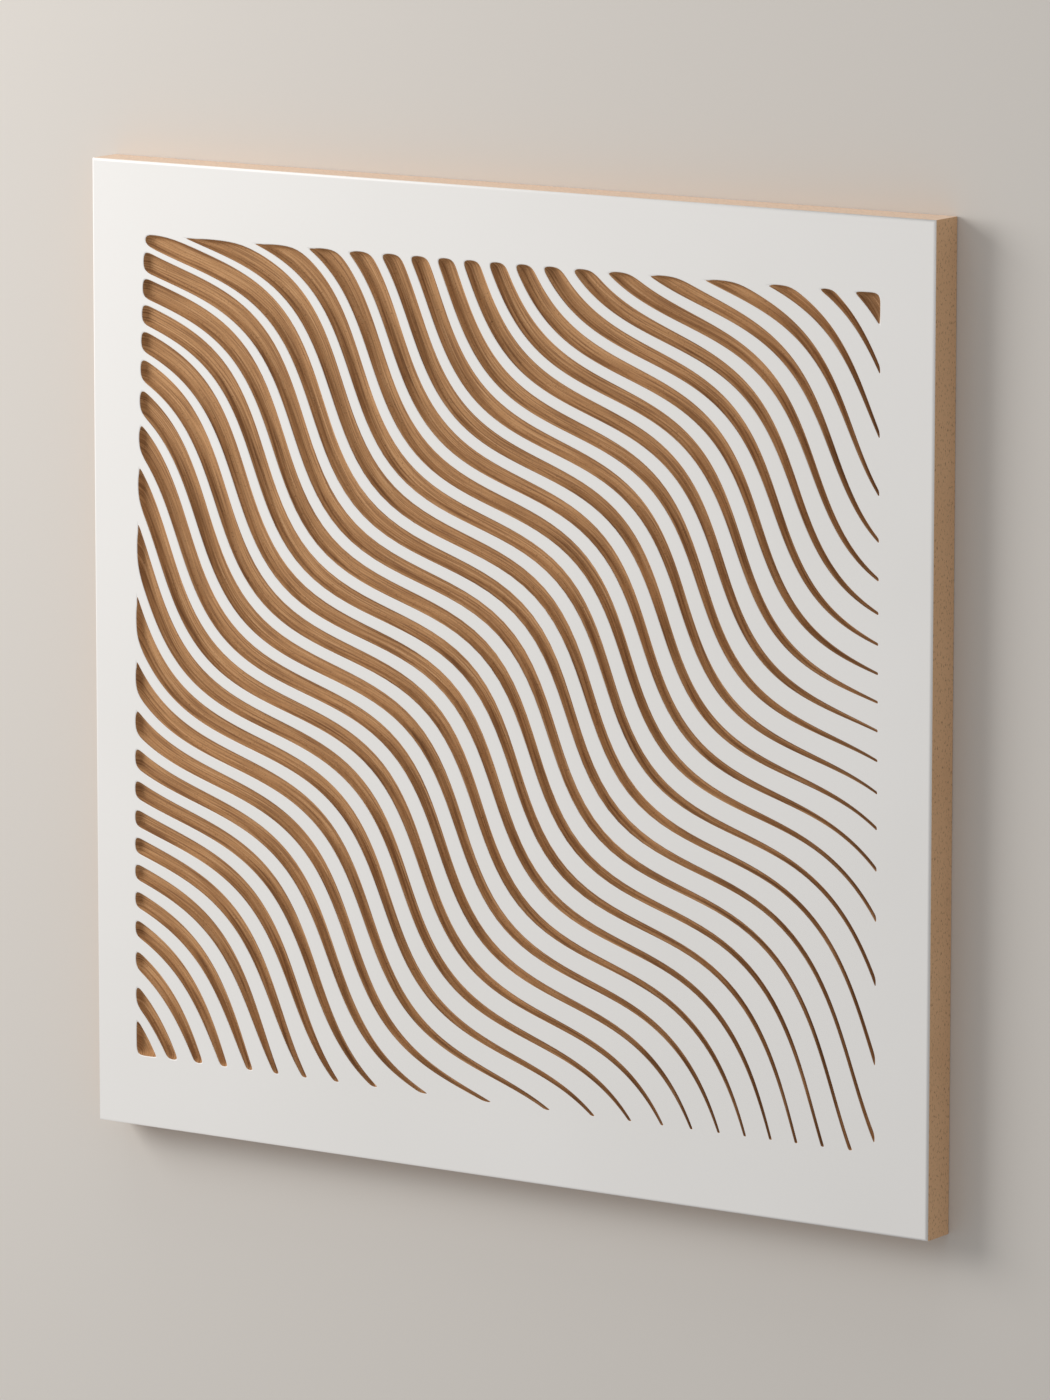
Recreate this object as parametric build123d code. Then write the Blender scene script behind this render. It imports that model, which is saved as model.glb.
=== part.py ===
from build123d import *
import os
from math import atan, ceil, copysign, cos, exp, pi, radians, sin, sqrt, tan

# Carved decorative panel, in millimetres. One square of fibreboard lies on its back with the
# carved face up: +X is its right and +Y its top. Parallel wave grooves run across a framed field
# from the upper left to the lower right. Each is cut with a tapered tool that rises as the groove
# narrows, so a wide groove has a flat floor and a narrow one is nearly a V.

# Board
width = 600.0
height = 600.0
thickness = 25.0
arris_radius = 1.5

# Plain margins round the carved field: its left side bows through three of them and its bottom
# side slopes between two
top_margin = 44.0
right_margin = 36.0
bottom_margin_left = 44.0
bottom_margin_right = 48.0
left_margin_top = 39.0
left_margin_middle = 30.5
left_margin_bottom = 29.0

# Groove section: depth of the floor, lean of the walls from upright in degrees, the most of a
# narrow groove's half width that its wall takes up, and how sharply the one rule takes over
groove_depth = 4.0
wall_lean = 25.0
wall_share = 0.8
wall_sharpness = 6

# Groove width, measured across the diagonal: at the field's upper left, and at a groove's tip.
# The fall between them follows a power of the way along the diagonal. The tips grow again near
# the lower right corner, by so much over half a run.
start_width = 14.4
tip_width = 1.0
tip_growth = 2.3
width_power = 1.49

# Share of its width that a groove loses at the right border, and the length of that taper
right_loss = 0.80
right_taper = 52.0

# The same at the bottom border, where the loss grows over a length from the left corner
bottom_loss = 0.66
bottom_taper = 27.0
bottom_growth = 120.0

# The grooves are numbered from the middle one, up to the upper right and down to the lower left.
# Changes across the field are given for the outermost number, and those along it for half a run.
outer_number = 20
half_run = 300.0

# Spacing across the diagonal: the pitch, the middle groove's place, and how far the outermost
# grooves are drawn to the lower left and towards the middle
pitch = 18.35
middle_shift = -10.4
spacing_drift = 7.3
spacing_squeeze = 4.8

# Mean run of a groove: its climb from the diagonal, how that fans out across the field and how
# soon the fan turns back towards the corners, and the bow of the run
climb = 11.6
climb_fan = -19.3
fan_turn = 1.28
run_bow = 8.4

# Waves: half height of one wave, its even change across the field and its fall to both sides
crest_height = 19.0
crest_change = -1.3
crest_fall = 2.9

# Length of one wave, and its change across the field as a share
wave_length = 251.9
wave_change = 0.066

# Place of the wave at the panel's middle, in turns, and its change across the field
wave_start = 0.331
start_change = -0.054

# Near the lower right corner the waves lengthen and rise: the distance along the diagonal from
# which they do, and how many turns they fall behind and how far they rise over half a run
late_start = 210.0
late_delay = 0.32
late_rise = 53.0

# Spacing of the points that a groove's curves pass through, and halvings to find a border
station_step = 20.0
halvings = 30

# Field borders, measured from the panel's middle
field_right = width / 2 - right_margin
field_top = height / 2 - top_margin
field_bottom = bottom_margin_left - height / 2
field_left = left_margin_bottom - width / 2

# Ends of the field along the diagonal that the grooves follow, and the foot of a full wall
diagonal_start = (field_left - field_top) / sqrt(2)
diagonal_end = (field_right - field_bottom) / sqrt(2)
wall_run = groove_depth * tan(radians(wall_lean))


def place(along, across):
    """Point of the face at a distance along the diagonal and a distance across it."""
    return (along + across) / sqrt(2), (across - along) / sqrt(2)


def lateness(along):
    """How far a point is past the late start, in half runs."""
    return max(along - late_start, 0) / half_run


def centre_line(number, along):
    """Distance of a groove's middle from the diagonal."""
    rank = number / outer_number
    reach = along / half_run
    spacing = middle_shift + pitch * number - spacing_drift * rank**2 - spacing_squeeze * rank**3
    fan = climb_fan * rank * (1 - fan_turn * (rank**2 + reach**2))
    run = (climb + fan) * reach + run_bow * rank * reach**2
    waves = along / wave_length * (1 + wave_change * rank)
    turns = waves + wave_start + start_change * rank - late_delay * lateness(along) ** 2
    crest = crest_height + crest_change * rank - crest_fall * rank**2 + late_rise * lateness(along) ** 2
    return spacing + run + crest * sin(2 * pi * turns)


def squareness(number, along):
    """Width of a groove square to its run, as a share of its width across the diagonal."""
    rise = centre_line(number, along + 1) - centre_line(number, along - 1)
    return cos(atan(rise / 2))


def groove_width(number, along):
    """Width of a groove across the diagonal."""
    x, y = place(along, centre_line(number, along))
    way = (along - diagonal_start) / (diagonal_end - diagonal_start)
    full = (start_width - tip_width) * (1 - min(max(way, 0), 1) ** width_power)
    loss = bottom_loss * min(max((x - field_left) / bottom_growth, 0), 1)
    at_right = 1 - right_loss * exp(-max(field_right - x, 0) / right_taper)
    at_bottom = 1 - loss * exp(-max(y - bottom_border(x), 0) / bottom_taper)
    return tip_width + tip_growth * lateness(along) + full * at_right * at_bottom


def left_border(y):
    """Place of the field's left side at a height: a parabola through the three margins."""
    way = (y - field_bottom) / (field_top - field_bottom)
    bow = 2 * left_margin_bottom + 2 * left_margin_top - 4 * left_margin_middle
    margin = left_margin_bottom + (left_margin_top - left_margin_bottom - bow) * way + bow * way**2
    return margin - width / 2


def bottom_border(x):
    """Height of the field's bottom side at a place: a straight line between the two margins."""
    way = (x - field_left) / (field_right - field_left)
    return field_bottom + (bottom_margin_right - bottom_margin_left) * way


def border_distances(x, y):
    """Distances of a point from the left, top, right and bottom borders, positive inside."""
    return x - left_border(y), field_top - y, field_right - x, y - bottom_border(x)


def wall_inset(number, along):
    """Distance that the floor's edge is drawn in from the lip, square to the groove."""
    narrow_run = wall_share * groove_width(number, along) / 2 * squareness(number, along)
    return (wall_run**-wall_sharpness + narrow_run**-wall_sharpness) ** (-1 / wall_sharpness)


def edge_point(number, side, level, along):
    """Point on a groove's lip, at level 0, or on the edge of its floor, at level 1."""
    inset = level * wall_inset(number, along)
    half = groove_width(number, along) / 2 - inset / squareness(number, along)
    x, y = place(along, centre_line(number, along) + side * half)
    return x, y, thickness - inset / tan(radians(wall_lean))


def in_field(number, side, level, along):
    """Whether an edge of a groove is inside the field, drawn in as the floor is."""
    x, y, _ = edge_point(number, side, level, along)
    return min(border_distances(x, y)) > level * wall_inset(number, along)


def crossing(number, side, level, inside, outside):
    """Distance along the diagonal at which an edge crosses the field's border."""
    for _ in range(halvings):
        middle = (inside + outside) / 2
        if in_field(number, side, level, middle):
            inside = middle
        else:
            outside = middle
    return inside


def edge_points(number, side, level, middle):
    """Points along an edge of a groove from border to border."""
    start = crossing(number, side, level, middle, diagonal_start - pitch)
    end = crossing(number, side, level, middle, diagonal_end + pitch)
    count = max(4, ceil((end - start) / station_step))
    return [edge_point(number, side, level, start + (end - start) * n / count) for n in range(count + 1)]


def nearest_border(point):
    """Number of the border that a point is nearest to."""
    distances = border_distances(point[0], point[1])
    return distances.index(min(distances))


def end_path(first, second, corner):
    """Points of a groove's end from one edge to the other, by way of a field corner between them."""
    if nearest_border(first) == nearest_border(second):
        return [first, second]
    z = (first[2] + second[2]) / 2
    inset = (thickness - z) * tan(radians(wall_lean))
    turn = [side - copysign(inset, side) for side in corner]
    return [first, (*turn, z), second]


def groove(number, middle):
    """Outline of one groove on the face, and the faces of its walls and floor."""
    lips = [edge_points(number, side, 0, middle) for side in (-1, 1)]
    feet = [edge_points(number, side, 1, middle) for side in (-1, 1)]
    lip_edges = [Edge.make_spline(points) for points in lips]
    foot_edges = [Edge.make_spline(points) for points in feet]
    faces = [Face.make_surface_from_curves(*pair) for pair in zip(lip_edges, foot_edges)]
    faces.append(Face.make_surface_from_curves(*foot_edges))
    outline = [*lip_edges]
    upper_left = (left_margin_top - width / 2, field_top)
    lower_right = (field_right, bottom_border(field_right))
    for end, corner in ((0, upper_left), (-1, lower_right)):
        lip_path = end_path(lips[0][end], lips[1][end], corner)
        foot_path = end_path(feet[0][end], feet[1][end], corner)
        if len(lip_path) != len(foot_path):
            lip_path = [lips[0][end], lips[1][end]]
            foot_path = [feet[0][end], feet[1][end]]
        for n in range(len(lip_path) - 1):
            outline.append(Edge.make_line(lip_path[n], lip_path[n + 1]))
            foot_line = Edge.make_line(foot_path[n], foot_path[n + 1])
            faces.append(Face.make_surface_from_curves(outline[-1], foot_line))
        if len(foot_path) == 3:
            faces.append(Face(Wire.make_polygon(foot_path)))
    return Wire(outline), faces


def corner_pocket(number, side, middle, corner):
    """Outline and walls of a groove's rest in a corner of the field: the walls meet in a point."""
    lip = edge_points(number, side, 0, middle)
    outline = Wire([Edge.make_spline(lip), Edge.make_line(lip[-1], corner), Edge.make_line(corner, lip[0])])
    apex = (Vector(*lip[0]) + Vector(*lip[-1]) + Vector(*corner)) / 3
    walls = Shell.make_loft([outline, Vertex(apex.X, apex.Y, thickness - groove_depth)], ruled=True)
    return outline, walls.faces()


def grooves():
    """Outlines and faces of all the grooves, with a pocket where a field corner cuts one short."""
    cuts = []
    for sense, corner_x, corner_y in ((1, field_right, field_top), (-1, field_left, field_bottom)):
        middle = (corner_x - corner_y) / sqrt(2)
        number = 0 if sense == 1 else -1
        while in_field(number, sense, 0, middle) and in_field(number, sense, 1, middle):
            cuts.append(groove(number, middle))
            number += sense
        if in_field(number, -sense, 0, middle):
            cuts.append(corner_pocket(number, -sense, middle, (corner_x, corner_y, thickness)))
    return cuts


def board():
    """Plain board with its front edges eased."""
    blank = Box(width, height, thickness, align=(Align.CENTER, Align.CENTER, Align.MIN))
    return fillet(blank.faces().sort_by(Axis.Z)[-1].edges(), arris_radius)


def carve(blank, cuts):
    """Board whose front face is opened along each outline and lined with that groove's faces."""
    *others, front = blank.faces().sort_by(Axis.Z)
    opened = Face(front.outer_wire(), [outline for outline, _ in cuts])
    linings = [face for _, faces in cuts for face in faces]
    return Solid(Shell([opened, *others, *linings]))


carved_panel = carve(board(), grooves())
carved_panel.label = "carved_panel"

os.makedirs("parts", exist_ok=True)
export_step(carved_panel, "parts/carved_panel.step")
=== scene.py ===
from math import pi, radians, sqrt, tan
import bpy
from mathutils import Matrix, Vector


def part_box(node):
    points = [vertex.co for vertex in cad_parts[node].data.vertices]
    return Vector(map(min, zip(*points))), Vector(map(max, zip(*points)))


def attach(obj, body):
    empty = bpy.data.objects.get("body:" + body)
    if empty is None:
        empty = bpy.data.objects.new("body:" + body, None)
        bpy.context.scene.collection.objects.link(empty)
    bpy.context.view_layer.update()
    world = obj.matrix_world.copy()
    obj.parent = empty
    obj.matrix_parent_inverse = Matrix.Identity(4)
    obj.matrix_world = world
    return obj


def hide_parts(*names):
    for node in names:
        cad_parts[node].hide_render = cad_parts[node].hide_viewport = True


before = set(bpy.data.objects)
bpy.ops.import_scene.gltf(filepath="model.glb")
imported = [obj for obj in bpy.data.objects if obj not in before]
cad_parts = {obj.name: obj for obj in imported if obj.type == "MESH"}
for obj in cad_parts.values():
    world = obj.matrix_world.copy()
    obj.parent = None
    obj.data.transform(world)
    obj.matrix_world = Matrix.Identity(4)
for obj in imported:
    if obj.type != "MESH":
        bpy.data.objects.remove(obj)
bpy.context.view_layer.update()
scene = bpy.context.scene
scene.view_settings.view_transform = "Standard"

# Camera: a long lens well above the panel and to its right, which sees the carved face, the right
# edge and a little of the top edge.
camera = bpy.data.objects.new("camera", bpy.data.cameras.new("camera"))
camera.location = (2.8994, 0.8807, 4.3566)
camera.rotation_euler = (radians(-9.650), radians(33.638), radians(0.031))
camera.data.lens = 227.6
camera.data.clip_end = 50.0
scene.collection.objects.link(camera)
scene.camera = camera

# Carved panel: one square of medium density fibreboard, lacquered white on its face and on the eased
# arris round it. The wave grooves are routed through the finish with a tapered cutter, so they show
# the bare brown board, as the sawn edges and the back do. It lies on its back and nothing fixes it.


def output_of(node):
    """First output of a node that its settings leave on."""
    return next(socket for socket in node.outputs if socket.enabled)


def add_node(tree, kind, *feeds, **settings):
    """Adds a node with its settings and feeds its inputs in order with values, sockets or nodes."""
    made = tree.nodes.new(kind)
    for name, value in settings.items():
        setattr(made, name, value)
    for socket, feed in zip([s for s in made.inputs if s.enabled], feeds):
        if isinstance(feed, bpy.types.Node):
            feed = output_of(feed)
        if isinstance(feed, bpy.types.NodeSocket):
            tree.links.new(feed, socket)
        elif feed is not None:
            socket.default_value = feed
    return made


def start_tree(name, inputs, outputs):
    """Starts a Geometry Nodes tree; returns it with its inputs by name and its output node."""
    tree = bpy.data.node_groups.new(name, "GeometryNodeTree")
    for label, value in inputs.items():
        kind = "NodeSocketInt" if isinstance(value, int) else "NodeSocketFloat"
        tree.interface.new_socket(label, in_out="INPUT", socket_type=kind).default_value = value
    for label, kind in outputs.items():
        tree.interface.new_socket(label, in_out="OUTPUT", socket_type=kind)
    sockets = tree.nodes.new("NodeGroupInput").outputs
    return tree, {label: sockets[label] for label in inputs}, tree.nodes.new("NodeGroupOutput")


# Centre line of one groove: how far it lies across the diagonal, for a distance along it. Sizes here
# and below are the part's own, in millimetres from the panel's middle, except that the first and last
# groove and the grooves' ends near the lower right corner follow the real panel more closely.
outer_number = 20
centre_line, known, result = start_tree(
    "groove centre line",
    {
        "number": 0.0, "along": 0.0, "outer number": float(outer_number), "half run": 300.0,
        "pitch": 18.35, "middle shift": -10.4, "spacing drift": 7.3, "spacing squeeze": 4.8,
        "climb": 11.6, "climb fan": -19.3, "fan turn": 1.28, "run bow": 8.4,
        "crest height": 19.0, "crest change": -1.3, "crest fall": 2.9,
        "wave length": 251.9, "wave change": 0.066, "wave start": 0.331, "start change": -0.054,
        "late start": 210.0, "late delay": 0.32, "late rise": 53.0,
    },
    {"across": "NodeSocketFloat", "late": "NodeSocketFloat"},
)
for name, operation, *feeds in (
    ("rank", "DIVIDE", "number", "outer number"),
    ("reach", "DIVIDE", "along", "half run"),
    ("rank squared", "MULTIPLY", "rank", "rank"),
    ("reach squared", "MULTIPLY", "reach", "reach"),
    ("even", "MULTIPLY_ADD", "number", "pitch", "middle shift"),
    ("pull", "MULTIPLY_ADD", "rank", "spacing squeeze", "spacing drift"),
    ("pulled", "MULTIPLY", "rank squared", "pull"),
    ("spacing", "SUBTRACT", "even", "pulled"),
    ("spread", "ADD", "rank squared", "reach squared"),
    ("turned", "MULTIPLY", "spread", "fan turn"),
    ("kept", "SUBTRACT", 1.0, "turned"),
    ("fan", "MULTIPLY", "kept", "climb fan"),
    ("bowed", "MULTIPLY_ADD", "reach", "run bow", "fan"),
    ("fanned", "MULTIPLY_ADD", "rank", "bowed", "climb"),
    ("run", "MULTIPLY_ADD", "reach", "fanned", "spacing"),
    ("stretch", "MULTIPLY_ADD", "rank", "wave change", 1.0),
    ("waves", "DIVIDE", "along", "wave length"),
    ("begun", "MULTIPLY_ADD", "rank", "start change", "wave start"),
    ("past late start", "SUBTRACT", "along", "late start"),
    ("only past", "MAXIMUM", "past late start", 0.0),
    ("late", "DIVIDE", "only past", "half run"),
    ("late squared", "MULTIPLY", "late", "late"),
    ("behind", "MULTIPLY", "late squared", "late delay"),
    ("delayed", "SUBTRACT", "begun", "behind"),
    ("turns", "MULTIPLY_ADD", "waves", "stretch", "delayed"),
    ("angle", "MULTIPLY", "turns", 2 * pi),
    ("sine", "SINE", "angle"),
    ("fallen", "MULTIPLY", "rank", "crest fall"),
    ("changed", "SUBTRACT", "crest change", "fallen"),
    ("grown", "MULTIPLY_ADD", "late squared", "late rise", "crest height"),
    ("crest", "MULTIPLY_ADD", "rank", "changed", "grown"),
    ("across", "MULTIPLY_ADD", "crest", "sine", "run"),
):
    taken = [known.get(feed, feed) for feed in feeds]
    known[name] = add_node(centre_line, "ShaderNodeMath", *taken, operation=operation)
for socket in result.inputs[:-1]:
    centre_line.links.new(known[socket.name].outputs[0], socket)

# Section of one groove at a distance along it: the place of a point on its surface, its distance
# from the groove's outline and its depth. The share runs from one lip, -1, to the other, 1. The blend
# that rounds a corner of the field cuts it back along its diagonal.
left, right, top, bottom = -271.0, 264.0, 256.0, -256.0
corner_blend = 8.0
corner_cut = corner_blend * sqrt(2) / 6
groove_depth, wall_slope, wall_sharpness = 4.0, tan(radians(25)), 6.0
groove, known, result = start_tree(
    "groove section",
    {
        "number": 0.0, "along": 0.0, "share": 0.0, "lip column": 0.0,
        "left side": left, "left lean": -4.0, "left bow": 14.0,
        "right side": right, "top side": top, "bottom side": bottom, "bottom rise": 4.0,
        "run start": (left - top) / sqrt(2), "run length": (right - bottom - left + top) / sqrt(2),
        "low corner": (left + bottom) / sqrt(2) + corner_cut,
        "high corner": (right + top) / sqrt(2) - corner_cut,
        "start width": 14.4, "tip width": 1.0, "tip growth": 3.5, "tip change": 0.5, "width power": 1.49,
        "right loss": 0.80, "right taper": 52.0,
        "bottom loss": 0.66, "bottom taper": 27.0, "bottom growth": 120.0,
        "last groove": outer_number - 0.5, "pocket outwards": 20.0, "pocket inwards": 3.0,
        "corner blend": corner_blend, "end rounding": 14.0, "narrow rounding": 1.2, "least openness": 0.06,
        "lip": 0.4, "lip share": 0.14, "lip drop": 0.5,
        "wall run": groove_depth * wall_slope, "wall rate": 1 / wall_slope, "wall share": 0.8, "cove": 0.8,
    },
    {name: "NodeSocketFloat" for name in ("x", "y", "depth", "eased", "off centre", "own half square")},
)
known["centre"] = add_node(
    groove, "GeometryNodeGroup", known["number"], known["along"], node_tree=centre_line
)
known["late"] = known["centre"].outputs["late"]
for name, step in (("centre behind", -1.0), ("centre ahead", 1.0)):
    near = add_node(groove, "ShaderNodeMath", known["along"], step, operation="ADD")
    known[name] = add_node(groove, "GeometryNodeGroup", known["number"], near, node_tree=centre_line)
for name, operation, *feeds in (
    # slope of the run, and the groove's width square to it
    ("double rise", "SUBTRACT", "centre ahead", "centre behind"),
    ("rise", "MULTIPLY", "double rise", 0.5),
    ("steep", "MULTIPLY_ADD", "rise", "rise", 1.0),
    ("square", "INVERSE_SQRT", "steep"),
    # width, which falls along the diagonal
    ("gone", "SUBTRACT", "along", "run start"),
    ("way", "DIVIDE", "gone", "run length"),
    ("way from 0", "MAXIMUM", "way", 0.0),
    ("way to 1", "MINIMUM", "way from 0", 1.0),
    ("fallen", "POWER", "way to 1", "width power"),
    ("left over", "SUBTRACT", 1.0, "fallen"),
    ("range", "SUBTRACT", "start width", "tip width"),
    ("full", "MULTIPLY", "range", "left over"),
    # taper towards the right side
    ("centre sum", "ADD", "along", "centre"),
    ("centre x", "MULTIPLY", "centre sum", sqrt(0.5)),
    ("to right", "SUBTRACT", "right side", "centre x"),
    ("right room", "MAXIMUM", "to right", 0.0),
    ("right decay", "DIVIDE", "right room", "right taper"),
    ("right power", "MULTIPLY", "right decay", -1.0),
    ("right fade", "EXPONENT", "right power"),
    ("right lost", "MULTIPLY", "right fade", "right loss"),
    ("right kept", "SUBTRACT", 1.0, "right lost"),
    # taper towards the bottom side, which grows from the left corner
    ("centre difference", "SUBTRACT", "centre", "along"),
    ("centre y", "MULTIPLY", "centre difference", sqrt(0.5)),
    ("from left", "SUBTRACT", "centre x", "left side"),
    ("growth", "DIVIDE", "from left", "bottom growth"),
    ("growth from 0", "MAXIMUM", "growth", 0.0),
    ("growth to 1", "MINIMUM", "growth from 0", 1.0),
    ("field width", "SUBTRACT", "right side", "left side"),
    ("centre way", "DIVIDE", "from left", "field width"),
    ("bottom there", "MULTIPLY_ADD", "centre way", "bottom rise", "bottom side"),
    ("to bottom", "SUBTRACT", "centre y", "bottom there"),
    ("bottom room", "MAXIMUM", "to bottom", 0.0),
    ("bottom decay", "DIVIDE", "bottom room", "bottom taper"),
    ("bottom power", "MULTIPLY", "bottom decay", -1.0),
    ("bottom fade", "EXPONENT", "bottom power"),
    ("bottom most", "MULTIPLY", "growth to 1", "bottom loss"),
    ("bottom lost", "MULTIPLY", "bottom fade", "bottom most"),
    ("bottom kept", "SUBTRACT", 1.0, "bottom lost"),
    ("taper", "MULTIPLY", "right kept", "bottom kept"),
    ("tip rate", "MULTIPLY_ADD", "number", "tip change", "tip growth"),
    ("tip rate from 0", "MAXIMUM", "tip rate", 0.0),
    ("tip", "MULTIPLY_ADD", "late", "tip rate from 0", "tip width"),
    ("width", "MULTIPLY_ADD", "full", "taper", "tip"),
    ("own half", "MULTIPLY", "width", 0.5),
    ("own half square", "MULTIPLY", "own half", "square"),
    # the first and the last groove are pockets in two corners, which widen inwards and past the corner
    ("rank", "ABSOLUTE", "number"),
    ("in pocket", "GREATER_THAN", "rank", "last groove"),
    ("outwards", "SIGN", "number"),
    ("pocket growth", "ADD", "pocket outwards", "pocket inwards"),
    ("grown width", "MULTIPLY_ADD", "in pocket", "pocket growth", "width"),
    ("half", "MULTIPLY", "grown width", 0.5),
    ("pocket shift", "SUBTRACT", "pocket outwards", "pocket inwards"),
    ("shift", "MULTIPLY", "in pocket", "pocket shift"),
    ("half shift", "MULTIPLY", "shift", 0.5),
    ("line", "MULTIPLY_ADD", "half shift", "outwards", "centre"),
    ("half square", "MULTIPLY", "half", "square"),
    # place across the groove, between the lips or the field's two pocket corners
    ("narrow lip", "MULTIPLY", "half square", "lip share"),
    ("lip width", "MINIMUM", "narrow lip", "lip"),
    ("lip across", "DIVIDE", "lip width", "square"),
    ("inner", "SUBTRACT", 1.0, "lip column"),
    ("drawn in", "MULTIPLY", "lip across", "inner"),
    ("low lip", "SUBTRACT", "line", "half"),
    ("low", "MAXIMUM", "low lip", "low corner"),
    ("high lip", "ADD", "line", "half"),
    ("high", "MINIMUM", "high lip", "high corner"),
    ("low edge", "ADD", "low", "drawn in"),
    ("high edge", "SUBTRACT", "high", "drawn in"),
    ("edge sum", "ADD", "low edge", "high edge"),
    ("middle", "MULTIPLY", "edge sum", 0.5),
    ("span", "SUBTRACT", "high edge", "low edge"),
    ("half span", "MULTIPLY", "span", 0.5),
    ("across", "MULTIPLY_ADD", "share", "half span", "middle"),
    ("sum", "ADD", "along", "across"),
    ("x", "MULTIPLY", "sum", sqrt(0.5)),
    ("difference", "SUBTRACT", "across", "along"),
    ("y", "MULTIPLY", "difference", sqrt(0.5)),
    # distances from the lips and from the field's four sides, joined with rounded corners
    ("off centre", "SUBTRACT", "across", "line"),
    ("off", "ABSOLUTE", "off centre"),
    ("room across", "SUBTRACT", "half", "off"),
    ("from lip", "MULTIPLY", "room across", "square"),
    ("up", "SUBTRACT", "y", "bottom side"),
    ("field height", "SUBTRACT", "top side", "bottom side"),
    ("height way", "DIVIDE", "up", "field height"),
    ("left bend", "MULTIPLY_ADD", "height way", "left bow", "left lean"),
    ("left there", "MULTIPLY_ADD", "height way", "left bend", "left side"),
    ("left room", "SUBTRACT", "x", "left there"),
    ("top room", "SUBTRACT", "top side", "y"),
    ("right room here", "SUBTRACT", "right side", "x"),
    ("inwards", "SUBTRACT", "x", "left side"),
    ("width way", "DIVIDE", "inwards", "field width"),
    ("bottom here", "MULTIPLY_ADD", "width way", "bottom rise", "bottom side"),
    ("bottom room here", "SUBTRACT", "y", "bottom here"),
    ("upper right", "SMOOTH_MIN", "top room", "right room here", "corner blend"),
    ("lower left", "SMOOTH_MIN", "left room", "bottom room here", "corner blend"),
    ("from side", "SMOOTH_MIN", "upper right", "lower left", "corner blend"),
    # how openly the lip meets the side there: a sharp tip is hardly rounded, a wide corner well
    ("upper nearer", "LESS_THAN", "upper right", "lower left"),
    ("side across", "MULTIPLY_ADD", "upper nearer", -sqrt(2), sqrt(0.5)),
    ("run sign", "SIGN", "along"),
    ("side along", "MULTIPLY", "run sign", -sqrt(0.5)),
    ("leaning", "MULTIPLY", "rise", "side along"),
    ("crossing", "SUBTRACT", "side across", "leaning"),
    ("side share", "DIVIDE", "off centre", "half"),
    ("side share square", "MULTIPLY", "side share", "square"),
    ("meeting", "MULTIPLY", "side share square", "crossing"),
    ("openness", "SUBTRACT", 1.0, "meeting"),
    ("open enough", "MAXIMUM", "openness", "least openness"),
    ("angle blend", "MULTIPLY", "open enough", "end rounding"),
    ("narrow blend", "MULTIPLY", "half square", "narrow rounding"),
    ("end blend", "MINIMUM", "narrow blend", "angle blend"),
    ("inset", "SMOOTH_MIN", "from lip", "from side", "end blend"),
    ("eased", "DIVIDE", "inset", "lip width"),
    # depth: an eased lip, a leaning wall and a cove into the floor, which rises in a narrow groove
    ("narrow run", "MULTIPLY", "half square", "wall share"),
    ("narrow part", "POWER", "narrow run", -wall_sharpness),
    ("full part", "POWER", "wall run", -wall_sharpness),
    ("both parts", "ADD", "narrow part", "full part"),
    ("foot", "POWER", "both parts", -1 / wall_sharpness),
    ("floor", "MULTIPLY", "foot", "wall rate"),
    ("on lip", "MINIMUM", "inset", "lip width"),
    ("dropped", "MULTIPLY", "on lip", "lip drop"),
    ("past lip", "SUBTRACT", "inset", "lip width"),
    ("on wall", "MAXIMUM", "past lip", 0.0),
    ("wall", "MULTIPLY_ADD", "on wall", "wall rate", "dropped"),
    ("cove depth", "MULTIPLY", "floor", "cove"),
    ("coved", "SMOOTH_MIN", "wall", "floor", "cove depth"),
    ("depth", "MAXIMUM", "coved", 0.0),
):
    taken = [known.get(feed, feed) for feed in feeds]
    known[name] = add_node(groove, "ShaderNodeMath", *taken, operation=operation)
for socket in result.inputs[:-1]:
    groove.links.new(known[socket.name].outputs[0], socket)

# End of one column of a groove's mesh: halvings close in on the place where it leaves the outline,
# at level 0, or the lip's inner edge, at level 1
groove_end, known, result = start_tree(
    "groove end",
    {
        "number": 0.0, "share": 0.0, "lip column": 0.0, "level": 0.0, "inside": 0.0, "outside": 0.0,
        "halvings": 18, "least spare": -0.02,
    },
    {"along": "NodeSocketFloat"},
)
loop_start = groove_end.nodes.new("GeometryNodeRepeatInput")
loop_end = groove_end.nodes.new("GeometryNodeRepeatOutput")
loop_start.pair_with_output(loop_end)
loop_end.repeat_items.clear()
for name in ("inside", "outside"):
    loop_end.repeat_items.new("FLOAT", name)
    groove_end.links.new(known[name], loop_start.inputs[name])
    known[name] = loop_start.outputs[name]
groove_end.links.new(known["halvings"], loop_start.inputs["Iterations"])
both = add_node(groove_end, "ShaderNodeMath", known["inside"], known["outside"], operation="ADD")
known["middle"] = add_node(groove_end, "ShaderNodeMath", both, 0.5, operation="MULTIPLY")
tried = add_node(
    groove_end, "GeometryNodeGroup", known["number"], known["middle"], known["share"], known["lip column"],
    node_tree=groove,
)
known["eased"] = tried.outputs["eased"]
for name, operation, *feeds in (
    ("inner", "SUBTRACT", 1.0, "lip column"),
    ("wanted", "MULTIPLY", "level", "inner"),
    ("spare", "SUBTRACT", "eased", "wanted"),
    ("within", "GREATER_THAN", "spare", "least spare"),
    ("without", "SUBTRACT", 1.0, "within"),
    ("step on", "SUBTRACT", "middle", "inside"),
    ("step back", "SUBTRACT", "middle", "outside"),
    ("new inside", "MULTIPLY_ADD", "within", "step on", "inside"),
    ("new outside", "MULTIPLY_ADD", "without", "step back", "outside"),
):
    taken = [known.get(feed, feed) for feed in feeds]
    known[name] = add_node(groove_end, "ShaderNodeMath", *taken, operation=operation)
for name in ("inside", "outside"):
    groove_end.links.new(known["new " + name].outputs[0], loop_end.inputs[name])
groove_end.links.new(loop_end.outputs["inside"], result.inputs["along"])


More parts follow.
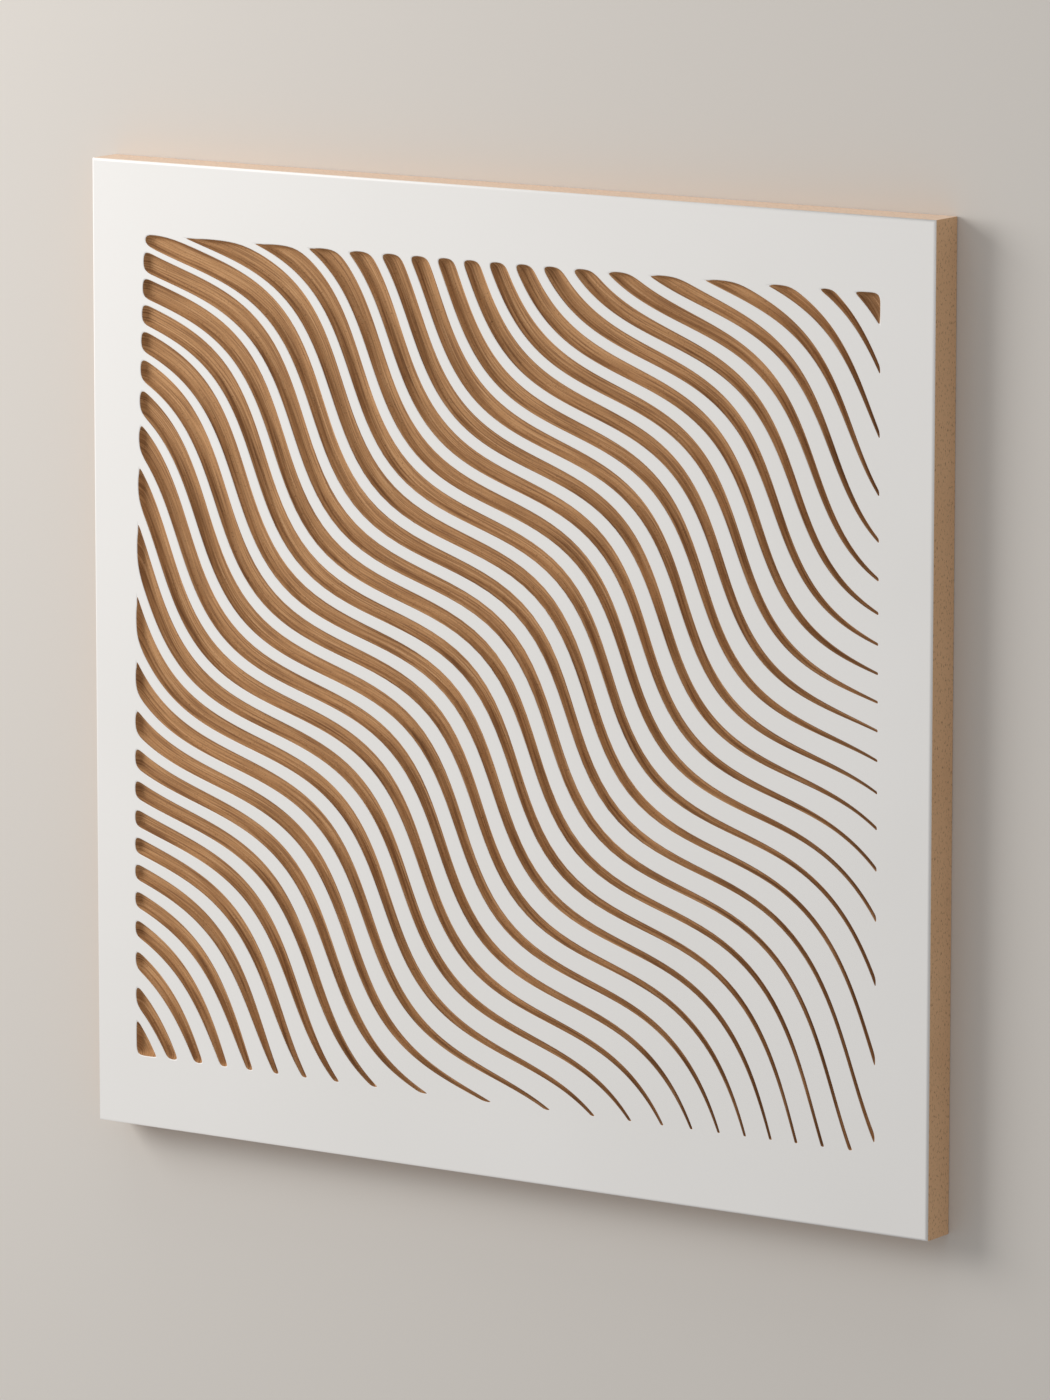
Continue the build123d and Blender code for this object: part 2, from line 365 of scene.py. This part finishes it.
def linear(colour):
    """Linear colour of an sRGB hex value."""
    shares = [int(colour[n : n + 2], 16) / 255 for n in (1, 3, 5)]
    return [s / 12.92 if s <= 0.04045 else ((s + 0.055) / 1.055) ** 2.4 for s in shares] + [1.0]


def start_material(name):
    """Starts a material; returns it with its node tree and its shader."""
    material = bpy.data.materials.new(name)
    material.use_nodes = True
    return material, material.node_tree, material.node_tree.nodes["Principled BSDF"]


# Satin white lacquer, sprayed and rubbed down: an even, slightly warm white with a soft sheen. Clouds
# 150 mm across shift the white a little, and a ripple of 2 mm from the spray breaks up the sheen.
# These sizes are in metres, because a material takes the panel's coordinates in metres.
cloud_size, ripple_size, ripple_height = 0.150, 0.002, 0.0002
lacquer, shades, shader = start_material("satin_white_lacquer")
shader.inputs["IOR"].default_value = 1.5
place = shades.nodes.new("ShaderNodeTexCoord").outputs["Object"]
clouds = add_node(shades, "ShaderNodeTexNoise", place, 1 / cloud_size, 2.0)
white = add_node(shades, "ShaderNodeMix", clouds, linear("#ebe9e6"), linear("#f0eeec"), data_type="RGBA")
sheen = add_node(shades, "ShaderNodeMapRange", clouds, 0.3, 0.7, 0.40, 0.50)
spray = add_node(shades, "ShaderNodeTexNoise", place, 1 / ripple_size, 1.0)
ripple = add_node(shades, "ShaderNodeBump", 0.05, ripple_height, None, spray)
shades.links.new(output_of(white), shader.inputs["Base Color"])
shades.links.new(sheen.outputs[0], shader.inputs["Roughness"])
shades.links.new(ripple.outputs[0], shader.inputs["Normal"])

# Routed fibreboard, cut across its pressed fibres: a light warm brown, quite dull, with soft streaks
# that the cutter drew out along the groove and darker fibres in it. The streaks are 0.8 mm wide, twice
# the real ones, so that they show. A narrow groove is painted darker, as painted shade for the shade
# deep in a narrow cut. Sizes along and across a groove are in millimetres, and a step moves the pattern
# on from groove to groove.
streak_length, streak_width, streak_step = 40.0, 0.8, 7.3
patch_length, patch_width, patch_step = 70.0, 9.0, 3.1
fully_shaded_half, unshaded_half = 0.4, 3.5
fibre_size, nap_height = 0.0011, 0.0002
routed, shades, shader = start_material("routed_fibreboard")
shader.inputs["IOR"].default_value = 1.45
shader.inputs["Roughness"].default_value = 0.78
run = add_node(shades, "ShaderNodeAttribute", attribute_name="groove_run").outputs["Vector"]
scales = (1 / streak_length, 1 / streak_width, streak_step)
drawn = add_node(shades, "ShaderNodeVectorMath", run, scales, operation="MULTIPLY")
streaks = add_node(shades, "ShaderNodeTexNoise", drawn, 1.0, 3.0, 0.6)
scales = (1 / patch_length, 1 / patch_width, patch_step)
patched = add_node(shades, "ShaderNodeVectorMath", run, scales, operation="MULTIPLY")
patches = add_node(shades, "ShaderNodeTexNoise", patched, 1.0, 2.0)
place = shades.nodes.new("ShaderNodeTexCoord").outputs["Object"]
fibres = add_node(shades, "ShaderNodeTexNoise", place, 1 / fibre_size, 2.0, 0.7)
half = add_node(shades, "ShaderNodeAttribute", attribute_name="groove_half").outputs["Fac"]
# painted shade: the narrower the groove, the darker its brown, down to #6f4a2b in the narrowest
wide = add_node(shades, "ShaderNodeMapRange", half, fully_shaded_half, unshaded_half)
wide = add_node(shades, "ShaderNodeMath", wide, 0.5, operation="POWER")
narrow_shade_brown = add_node(shades, "ShaderNodeMix", wide, linear("#6f4a2b"), linear("#c29262"), data_type="RGBA")
tone = add_node(shades, "ShaderNodeMapRange", patches, 0.35, 0.65, 0.0, 0.35)
brown = add_node(shades, "ShaderNodeMix", tone, narrow_shade_brown, linear("#8c5d31"), data_type="RGBA")
streak = add_node(shades, "ShaderNodeMapRange", streaks, 0.46, 0.67, 0.0, 0.7)
streaked = add_node(shades, "ShaderNodeMix", streak, brown, linear("#6a4120"), data_type="RGBA")
pale = add_node(shades, "ShaderNodeMapRange", streaks, 0.32, 0.46, 0.5, 0.0)
streaked = add_node(shades, "ShaderNodeMix", pale, streaked, linear("#dcb286"), data_type="RGBA")
speck = add_node(shades, "ShaderNodeMapRange", fibres, 0.58, 0.72, 0.0, 0.7)
speckled = add_node(shades, "ShaderNodeMix", speck, streaked, linear("#75502c"), data_type="RGBA")
nap = add_node(shades, "ShaderNodeBump", 0.35, nap_height, None, streaks)
shades.links.new(output_of(speckled), shader.inputs["Base Color"])
shades.links.new(nap.outputs[0], shader.inputs["Normal"])

# Sawn fibreboard: the same brown, paler, with short dark fibres that lie flat in the board. They are
# 2.4 mm long and 1.2 mm thick, thicker than the real ones, so that they show. A fine fuzz from the saw
# makes an edge paler still where it is seen at a low angle.
fibre_length, fibre_thickness, cloud_size, fuzz_height = 0.0024, 0.0012, 0.060, 0.0002
sawn, shades, shader = start_material("sawn_fibreboard")
shader.inputs["IOR"].default_value = 1.45
shader.inputs["Roughness"].default_value = 0.85
shader.inputs["Sheen Weight"].default_value = 0.5
shader.inputs["Sheen Roughness"].default_value = 0.4
place = shades.nodes.new("ShaderNodeTexCoord").outputs["Object"]
scales = (1 / fibre_length, 1 / fibre_length, 1 / fibre_thickness)
laid = add_node(shades, "ShaderNodeVectorMath", place, scales, operation="MULTIPLY")
fibres = add_node(shades, "ShaderNodeTexNoise", laid, 1.0, 3.0, 0.6)
clouds = add_node(shades, "ShaderNodeTexNoise", place, 1 / cloud_size, 3.0)
brown = add_node(shades, "ShaderNodeMix", clouds, linear("#d3a577"), linear("#deb488"), data_type="RGBA")
speck = add_node(shades, "ShaderNodeMapRange", fibres, 0.56, 0.69, 0.0, 0.8)
speckled = add_node(shades, "ShaderNodeMix", speck, brown, linear("#75502f"), data_type="RGBA")
fuzz = add_node(shades, "ShaderNodeBump", 0.4, fuzz_height, None, fibres)
shades.links.new(output_of(speckled), shader.inputs["Base Color"])
shades.links.new(fuzz.outputs[0], shader.inputs["Normal"])

# Whole panel: a grid for each groove, laid on the groove's section, the face filled in between the
# grooves' outlines, rings for the arris and the edges, and the back. The finish of a face is 0 where it
# is routed, 1 where it is lacquered and 2 where it is sawn.
lacquered_finish, sawn_finish = 1.0, 2.0
millimetre, overrun, sides = 0.001, 20.0, 4
panel_tree, known, result = start_tree(
    "carved panel",
    {
        "width": 600.0, "height": 600.0, "thickness": 25.0, "arris radius": 1.5, "arris steps": 6,
        "back ease": 0.4, "outer number": outer_number, "columns": 16, "rows": 110, "end crowding": 1.6,
        "upper middle": (right - top) / sqrt(2), "lower middle": (left - bottom) / sqrt(2),
        "before start": (left - top) / sqrt(2) - overrun, "past end": (right - bottom) / sqrt(2) + overrun,
        "lip columns from": 0.499, "lacquer reach": 0.75, "merging": 0.05,
    },
    {"panel": "NodeSocketGeometry"},
)
for name, operation, *feeds in (
    ("first number", "MULTIPLY", "outer number", -1.0),
    ("count", "MULTIPLY_ADD", "outer number", 2.0, 1.0),
    ("column steps", "SUBTRACT", "columns", 1.0),
    ("row steps", "SUBTRACT", "rows", 1.0),
):
    taken = [known.get(feed, feed) for feed in feeds]
    known[name] = add_node(panel_tree, "ShaderNodeMath", *taken, operation=operation)
grid = add_node(panel_tree, "GeometryNodeMeshGrid", 1.0, 1.0, known["columns"], known["rows"])
place = panel_tree.nodes.new("GeometryNodeInputPosition")
grid = add_node(
    panel_tree, "GeometryNodeStoreNamedAttribute", grid, True, "station", place, data_type="FLOAT_VECTOR"
)
first = add_node(panel_tree, "ShaderNodeCombineXYZ", known["first number"])
numbers = add_node(panel_tree, "GeometryNodeMeshLine", known["count"], first, (1.0, 0.0, 0.0))
along_line = add_node(panel_tree, "ShaderNodeSeparateXYZ", place)
numbers = add_node(
    panel_tree, "GeometryNodeStoreNamedAttribute", numbers, True, "number", along_line, data_type="FLOAT"
)
grids = add_node(panel_tree, "GeometryNodeInstanceOnPoints", numbers, True, grid)
grids = add_node(panel_tree, "GeometryNodeRealizeInstances", grids)
known["number"] = add_node(panel_tree, "GeometryNodeInputNamedAttribute", "number", data_type="FLOAT")
station = add_node(panel_tree, "GeometryNodeInputNamedAttribute", "station", data_type="FLOAT_VECTOR")
station = add_node(panel_tree, "ShaderNodeSeparateXYZ", station)
known["column"], known["row"] = station.outputs["X"], station.outputs["Y"]
for name, operation, *feeds in (
    # share of the groove's width: the outer columns are the lips, the rest crowd towards the walls
    ("off middle", "ABSOLUTE", "column"),
    ("lip column", "GREATER_THAN", "off middle", "lip columns from"),
    ("column step", "DIVIDE", 1.0, "column steps"),
    ("inner half", "SUBTRACT", 0.5, "column step"),
    ("inner column", "DIVIDE", "column", "inner half"),
    ("from the left", "MAXIMUM", "inner column", -1.0),
    ("to the right", "MINIMUM", "from the left", 1.0),
    ("quarter turn", "MULTIPLY", "to the right", -pi / 2),
    ("share", "SINE", "quarter turn"),
    # a place on the groove that is inside the field, one for numbers from 0 up and one for the rest
    ("upper", "GREATER_THAN", "number", -0.5),
    ("middle step", "SUBTRACT", "upper middle", "lower middle"),
    ("inside", "MULTIPLY_ADD", "upper", "middle step", "lower middle"),
):
    taken = [known.get(feed, feed) for feed in feeds]
    known[name] = add_node(panel_tree, "ShaderNodeMath", *taken, operation=operation)
for name, level, outside in (
    ("outline start", 0.0, "before start"), ("lip start", 1.0, "before start"),
    ("lip end", 1.0, "past end"), ("outline end", 0.0, "past end"),
):
    known[name] = add_node(
        panel_tree, "GeometryNodeGroup", known["number"], known["share"], known["lip column"], level,
        known["inside"], known[outside], node_tree=groove_end,
    )
for name, operation, *feeds in (
    # distance along the run: the outer rows are the ends' lips, the rest crowd towards the ends
    ("way", "ADD", "row", 0.5),
    ("row step", "DIVIDE", 1.0, "row steps"),
    ("half step", "MULTIPLY", "row step", 0.5),
    ("first row", "LESS_THAN", "way", "half step"),
    ("way left", "SUBTRACT", 0.5, "row"),
    ("last row", "LESS_THAN", "way left", "half step"),
    ("past first", "SUBTRACT", "way", "row step"),
    ("before last", "SUBTRACT", "way left", "row step"),
    ("past room", "MAXIMUM", "past first", 0.0),
    ("last room", "MAXIMUM", "before last", 0.0),
    ("past crowd", "POWER", "past room", "end crowding"),
    ("last crowd", "POWER", "last room", "end crowding"),
    ("crowds", "ADD", "past crowd", "last crowd"),
    ("inner way", "DIVIDE", "past crowd", "crowds"),
    ("run", "SUBTRACT", "lip end", "lip start"),
    ("inner along", "MULTIPLY_ADD", "inner way", "run", "lip start"),
    ("to start", "SUBTRACT", "outline start", "inner along"),
    ("to end", "SUBTRACT", "outline end", "inner along"),
    ("from start", "MULTIPLY_ADD", "first row", "to start", "inner along"),
    ("along", "MULTIPLY_ADD", "last row", "to end", "from start"),
):
    taken = [known.get(feed, feed) for feed in feeds]
    known[name] = add_node(panel_tree, "ShaderNodeMath", *taken, operation=operation)
section = add_node(
    panel_tree, "GeometryNodeGroup", known["number"], known["along"], known["share"], known["lip column"],
    node_tree=groove,
)
run = add_node(
    panel_tree, "ShaderNodeCombineXYZ", known["along"], section.outputs["off centre"], known["number"]
)
# groove_half is the groove's own half width, without a pocket's growth; the routed brown reads it for the
# painted shade that darkens narrow grooves and the two corner pockets
for name, value, kind in (
    ("groove_run", run, "FLOAT_VECTOR"),
    ("eased", section.outputs["eased"], "FLOAT"),
    ("groove_half", section.outputs["own half square"], "FLOAT"),
):
    grids = add_node(panel_tree, "GeometryNodeStoreNamedAttribute", grids, True, name, value, data_type=kind)
height = add_node(
    panel_tree, "ShaderNodeMath", known["thickness"], section.outputs["depth"], operation="SUBTRACT"
)
surface = add_node(panel_tree, "ShaderNodeCombineXYZ", section.outputs["x"], section.outputs["y"], height)
grids = add_node(panel_tree, "GeometryNodeSetPosition", grids, True, surface)
grids = add_node(panel_tree, "GeometryNodeMergeByDistance", grids, True, known["merging"])
eased = add_node(panel_tree, "GeometryNodeInputNamedAttribute", "eased", data_type="FLOAT")
on_lip = add_node(panel_tree, "ShaderNodeMath", eased, known["lacquer reach"], operation="LESS_THAN")
grids = add_node(
    panel_tree, "GeometryNodeStoreNamedAttribute", grids, True, "finish", on_lip,
    data_type="FLOAT", domain="FACE",
)
neighbours = panel_tree.nodes.new("GeometryNodeInputMeshEdgeNeighbors")
bare = add_node(panel_tree, "FunctionNodeCompare", neighbours, 0, data_type="INT", operation="EQUAL")
grids = add_node(panel_tree, "GeometryNodeDeleteGeometry", grids, bare, domain="EDGE")
outer = add_node(panel_tree, "FunctionNodeCompare", neighbours, 1, data_type="INT", operation="EQUAL")
outlines = add_node(panel_tree, "GeometryNodeMeshToCurve", grids, outer)
for name, operation, *feeds in (
    # sizes of the flat face and of the flat back
    ("face width", "MULTIPLY_ADD", "arris radius", -2.0, "width"),
    ("face height", "MULTIPLY_ADD", "arris radius", -2.0, "height"),
    ("back width", "MULTIPLY_ADD", "back ease", -2.0, "width"),
    ("back height", "MULTIPLY_ADD", "back ease", -2.0, "height"),
    # rings round the board: the arris, then the sawn edge, then the ease at the back
    ("rings", "ADD", "arris steps", 3.0),
    ("ring steps", "ADD", "arris steps", 2.0),
):
    taken = [known.get(feed, feed) for feed in feeds]
    known[name] = add_node(panel_tree, "ShaderNodeMath", *taken, operation=operation)
frame_line = add_node(
    panel_tree, "GeometryNodeCurvePrimitiveQuadrilateral", known["face width"], known["face height"]
)
edges = add_node(panel_tree, "GeometryNodeJoinGeometry", outlines)
panel_tree.links.new(frame_line.outputs[0], edges.inputs[0])
face = add_node(panel_tree, "GeometryNodeFillCurve", edges, mode="TRIANGLES")
lift = add_node(panel_tree, "ShaderNodeCombineXYZ", 0.0, 0.0, known["thickness"])
face = add_node(panel_tree, "GeometryNodeTransform", face, lift)
face = add_node(
    panel_tree, "GeometryNodeStoreNamedAttribute", face, True, "finish", lacquered_finish,
    data_type="FLOAT", domain="FACE",
)
face = add_node(panel_tree, "GeometryNodeSetShadeSmooth", face, True, False)
rim = add_node(
    panel_tree, "GeometryNodeMeshGrid", float(sides), known["ring steps"], sides + 1, known["rings"]
)
spot = add_node(panel_tree, "ShaderNodeSeparateXYZ", place)
known["side"], known["ring"] = spot.outputs["X"], spot.outputs["Y"]
for name, operation, *feeds in (
    # corner of the board that a column of the rim is on
    ("turn", "MULTIPLY_ADD", "side", -2 * pi / sides, pi / sides),
    ("turn x", "COSINE", "turn"),
    ("turn y", "SINE", "turn"),
    ("sign x", "SIGN", "turn x"),
    ("sign y", "SIGN", "turn y"),
    # ring of the rim, counted from the face
    ("half rings", "MULTIPLY", "ring steps", 0.5),
    ("counted", "ADD", "ring", "half rings"),
    ("on arris", "MINIMUM", "counted", "arris steps"),
    ("arris way", "DIVIDE", "on arris", "arris steps"),
    ("arris turn", "MULTIPLY", "arris way", pi / 2),
    ("arris sine", "SINE", "arris turn"),
    ("arris cosine", "COSINE", "arris turn"),
    ("arris in", "SUBTRACT", 1.0, "arris sine"),
    ("arris down", "SUBTRACT", 1.0, "arris cosine"),
    ("below arris", "SUBTRACT", "counted", "arris steps"),
    ("last rings", "MAXIMUM", "below arris", 0.0),
    ("on edge", "MINIMUM", "last rings", 1.0),
    ("past edge", "SUBTRACT", "last rings", 1.0),
    ("on ease", "MAXIMUM", "past edge", 0.0),
    ("ease in", "MULTIPLY", "on ease", "back ease"),
    ("rim in", "MULTIPLY_ADD", "arris in", "arris radius", "ease in"),
    ("half width", "MULTIPLY", "width", 0.5),
    ("half height", "MULTIPLY", "height", 0.5),
    ("reach x", "SUBTRACT", "half width", "rim in"),
    ("reach y", "SUBTRACT", "half height", "rim in"),
    ("rim x", "MULTIPLY", "reach x", "sign x"),
    ("rim y", "MULTIPLY", "reach y", "sign y"),
    ("arris drop", "MULTIPLY", "arris down", "arris radius"),
    ("arris z", "SUBTRACT", "thickness", "arris drop"),
    ("edge z", "SUBTRACT", "back ease", "arris z"),
    ("sunk", "MULTIPLY_ADD", "on edge", "edge z", "arris z"),
    ("rim z", "SUBTRACT", "sunk", "ease in"),
    ("bare ring", "GREATER_THAN", "counted", "arris steps"),
    ("rim finish", "ADD", "bare ring", lacquered_finish),
):
    taken = [known.get(feed, feed) for feed in feeds]
    known[name] = add_node(panel_tree, "ShaderNodeMath", *taken, operation=operation)
rim = add_node(
    panel_tree, "GeometryNodeStoreNamedAttribute", rim, True, "finish", known["rim finish"],
    data_type="FLOAT", domain="FACE",
)
spot = add_node(panel_tree, "ShaderNodeCombineXYZ", known["rim x"], known["rim y"], known["rim z"])
rim = add_node(panel_tree, "GeometryNodeSetPosition", rim, True, spot)
finish = add_node(panel_tree, "GeometryNodeInputNamedAttribute", "finish", data_type="FLOAT")
on_arris = add_node(panel_tree, "ShaderNodeMath", finish, sawn_finish - 0.5, operation="LESS_THAN")
rim = add_node(panel_tree, "GeometryNodeSetShadeSmooth", rim, True, on_arris)
back = add_node(panel_tree, "GeometryNodeMeshGrid", known["back width"], known["back height"], 2, 2)
back = add_node(panel_tree, "GeometryNodeFlipFaces", back)
back = add_node(
    panel_tree, "GeometryNodeStoreNamedAttribute", back, True, "finish", sawn_finish,
    data_type="FLOAT", domain="FACE",
)
back = add_node(panel_tree, "GeometryNodeSetShadeSmooth", back, True, False)
whole = add_node(panel_tree, "GeometryNodeJoinGeometry", grids)
for piece in (face, rim, back):
    panel_tree.links.new(piece.outputs[0], whole.inputs[0])
whole = add_node(panel_tree, "GeometryNodeMergeByDistance", whole, True, known["merging"])
whole = add_node(panel_tree, "GeometryNodeTransform", whole, None, None, (millimetre,) * 3)
whole = add_node(panel_tree, "GeometryNodeRealizeInstances", whole)
whole = add_node(panel_tree, "GeometryNodeSetMaterial", whole, True, routed)
for material, code in ((lacquer, lacquered_finish), (sawn, sawn_finish)):
    chosen = add_node(panel_tree, "ShaderNodeMath", finish, code - 0.5, operation="GREATER_THAN")
    whole = add_node(panel_tree, "GeometryNodeSetMaterial", whole, chosen, material)
panel_tree.links.new(whole.outputs[0], result.inputs["panel"])

low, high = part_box("carved_panel")
panel = bpy.data.objects.new("carved_panel_dressed", bpy.data.meshes.new("carved_panel_dressed"))
scene.collection.objects.link(panel)
modifier = panel.modifiers.new("carving", "NODES")
modifier.node_group = panel_tree
sockets = panel_tree.interface.items_tree
for name, size in zip(("width", "height", "thickness"), high - low):
    modifier[sockets[name].identifier] = size / millimetre
view_layer = bpy.context.view_layer
view_layer.update()
carved = bpy.data.meshes.new_from_object(panel.evaluated_get(bpy.context.evaluated_depsgraph_get()))
panel.modifiers.clear()
# the first material slot of the new mesh is an empty one
carved.materials.pop(index=0)
panel.data = carved
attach(panel, "root")
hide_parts("carved_panel")

# Floor: a plain pale warm grey, quite matt, that runs out to the horizon on all sides
floor_paint, shades, shader = start_material("matt_floor_paint")
shader.inputs["Base Color"].default_value = linear("#d6d1cb")
shader.inputs["Roughness"].default_value = 0.9
reach, below = 30.0, -0.0002
corners = [(-reach, -reach, below), (reach, -reach, below), (reach, reach, below), (-reach, reach, below)]
floor_mesh = bpy.data.meshes.new("floor")
floor_mesh.from_pydata(corners, [], [(0, 1, 2, 3)])
floor_mesh.materials.append(floor_paint)
floor = bpy.data.objects.new("floor", floor_mesh)
scene.collection.objects.link(floor)

# Light: one large soft box at the panel's upper left, a wide fill beyond its top edge and an even sky
sky = bpy.data.worlds.new("studio")
scene.world = sky
sky.use_nodes = True
shader = sky.node_tree.nodes["Background"]
shader.inputs["Color"].default_value = linear("#f0f0f0")
shader.inputs["Strength"].default_value = 0.50
soft_box = bpy.data.lights.new("soft_box", "AREA")
soft_box.shape = "SQUARE"
soft_box.size = 1.3
soft_box.energy = 38.5
soft_box.color = linear("#fffdfa")[:3]
lamp = bpy.data.objects.new("soft_box", soft_box)
lamp.location = (-1.73, 0.80, 1.35)
lamp.rotation_euler = (-lamp.location).to_track_quat("-Z", "Y").to_euler()
scene.collection.objects.link(lamp)
fill = bpy.data.lights.new("fill", "AREA")
fill.shape = "RECTANGLE"
fill.size, fill.size_y = 2.4, 1.2
fill.energy = 14.0
lamp = bpy.data.objects.new("fill", fill)
lamp.location = (0.0, 3.0, 0.75)
lamp.rotation_euler = (radians(-80), 0.0, 0.0)
scene.collection.objects.link(lamp)

view_layer.update()
